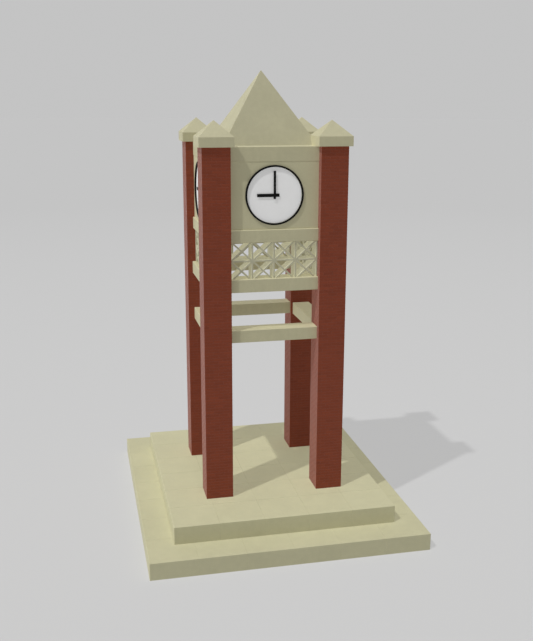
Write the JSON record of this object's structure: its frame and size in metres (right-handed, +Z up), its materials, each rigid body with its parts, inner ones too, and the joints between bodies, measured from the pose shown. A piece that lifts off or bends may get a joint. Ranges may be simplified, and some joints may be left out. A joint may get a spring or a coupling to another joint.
{
  "type": "clock tower",
  "caption": "Open clock tower: square brick columns on a stepped plinth, tie beams, lattice panels, clock walls with turning hands, capped columns and a pyramid roof.",
  "frame": {"origin": "ground level under the middle of the tower", "axes": "+Z up, the front faces -Y, +X to the right seen from the front"},
  "size_m": [6.05, 6.87, 10.068],
  "materials": {
    "plinth_stone": "fine cast stone, matt",
    "cream_stone": "smooth render, matt",
    "brick": "red facing brick, matt",
    "dial": "white enamel, satin",
    "black_metal": "black paint, satin"
  },
  "bodies": {
    "tower": {"lower_step": "plinth_stone", "upper_step": "plinth_stone", "front_left_column": "brick", "front_right_column": "brick", "back_right_column": "brick", "back_left_column": "brick", "column_caps": "cream_stone", "front_tie_beam": "cream_stone", "right_tie_beam": "cream_stone", "back_tie_beam": "cream_stone", "left_tie_beam": "cream_stone", "front_sill": "cream_stone", "right_sill": "cream_stone", "back_sill": "cream_stone", "left_sill": "cream_stone", "front_lattice": "cream_stone", "right_lattice": "cream_stone", "back_lattice": "cream_stone", "left_lattice": "cream_stone", "front_band": "cream_stone", "right_band": "cream_stone", "back_band": "cream_stone", "left_band": "cream_stone", "front_clock_wall": "cream_stone", "right_clock_wall": "cream_stone", "back_clock_wall": "cream_stone", "left_clock_wall": "cream_stone", "front_top_beam": "cream_stone", "right_top_beam": "cream_stone", "back_top_beam": "cream_stone", "left_top_beam": "cream_stone", "front_roof_slope": "cream_stone", "right_roof_slope": "cream_stone", "back_roof_slope": "cream_stone", "left_roof_slope": "cream_stone", "clock_dials": "dial", "clock_rims": "black_metal"},
    "front_hour_hand": {"front_hour_hand": "black_metal"},
    "right_hour_hand": {"right_hour_hand": "black_metal"},
    "back_hour_hand": {"back_hour_hand": "black_metal"},
    "left_hour_hand": {"left_hour_hand": "black_metal"},
    "front_minute_hand": {"front_minute_hand": "black_metal"},
    "right_minute_hand": {"right_minute_hand": "black_metal"},
    "back_minute_hand": {"back_minute_hand": "black_metal"},
    "left_minute_hand": {"left_minute_hand": "black_metal"}
  },
  "joints": [
    {"name": "front_minute_turn", "type": "hinge", "parent": "tower", "child": "front_minute_hand", "pos_m": [0, -1.38, 7.494], "axis": [0, 1, 0], "continuous": true},
    {"name": "front_hour_turn", "type": "hinge", "parent": "tower", "child": "front_hour_hand", "pos_m": [0, -1.38, 7.494], "axis": [0, 1, 0], "continuous": true},
    {"name": "right_minute_turn", "type": "hinge", "parent": "tower", "child": "right_minute_hand", "pos_m": [1.38, 0, 7.494], "axis": [-1, 0, 0], "continuous": true},
    {"name": "right_hour_turn", "type": "hinge", "parent": "tower", "child": "right_hour_hand", "pos_m": [1.38, 0, 7.494], "axis": [-1, 0, 0], "continuous": true},
    {"name": "back_minute_turn", "type": "hinge", "parent": "tower", "child": "back_minute_hand", "pos_m": [0, 1.38, 7.494], "axis": [0, -1, 0], "continuous": true},
    {"name": "back_hour_turn", "type": "hinge", "parent": "tower", "child": "back_hour_hand", "pos_m": [0, 1.38, 7.494], "axis": [0, -1, 0], "continuous": true},
    {"name": "left_minute_turn", "type": "hinge", "parent": "tower", "child": "left_minute_hand", "pos_m": [-1.38, 0, 7.494], "axis": [1, 0, 0], "continuous": true},
    {"name": "left_hour_turn", "type": "hinge", "parent": "tower", "child": "left_hour_hand", "pos_m": [-1.38, 0, 7.494], "axis": [1, 0, 0], "continuous": true}
  ],
  "couplings": [
    {"joint": "front_hour_turn", "follows": "front_minute_turn", "ratio": 0.083333},
    {"joint": "right_minute_turn", "follows": "front_minute_turn", "ratio": 1},
    {"joint": "right_hour_turn", "follows": "front_minute_turn", "ratio": 0.083333},
    {"joint": "back_minute_turn", "follows": "front_minute_turn", "ratio": 1},
    {"joint": "back_hour_turn", "follows": "front_minute_turn", "ratio": 0.083333},
    {"joint": "left_minute_turn", "follows": "front_minute_turn", "ratio": 1},
    {"joint": "left_hour_turn", "follows": "front_minute_turn", "ratio": 0.083333}
  ]
}
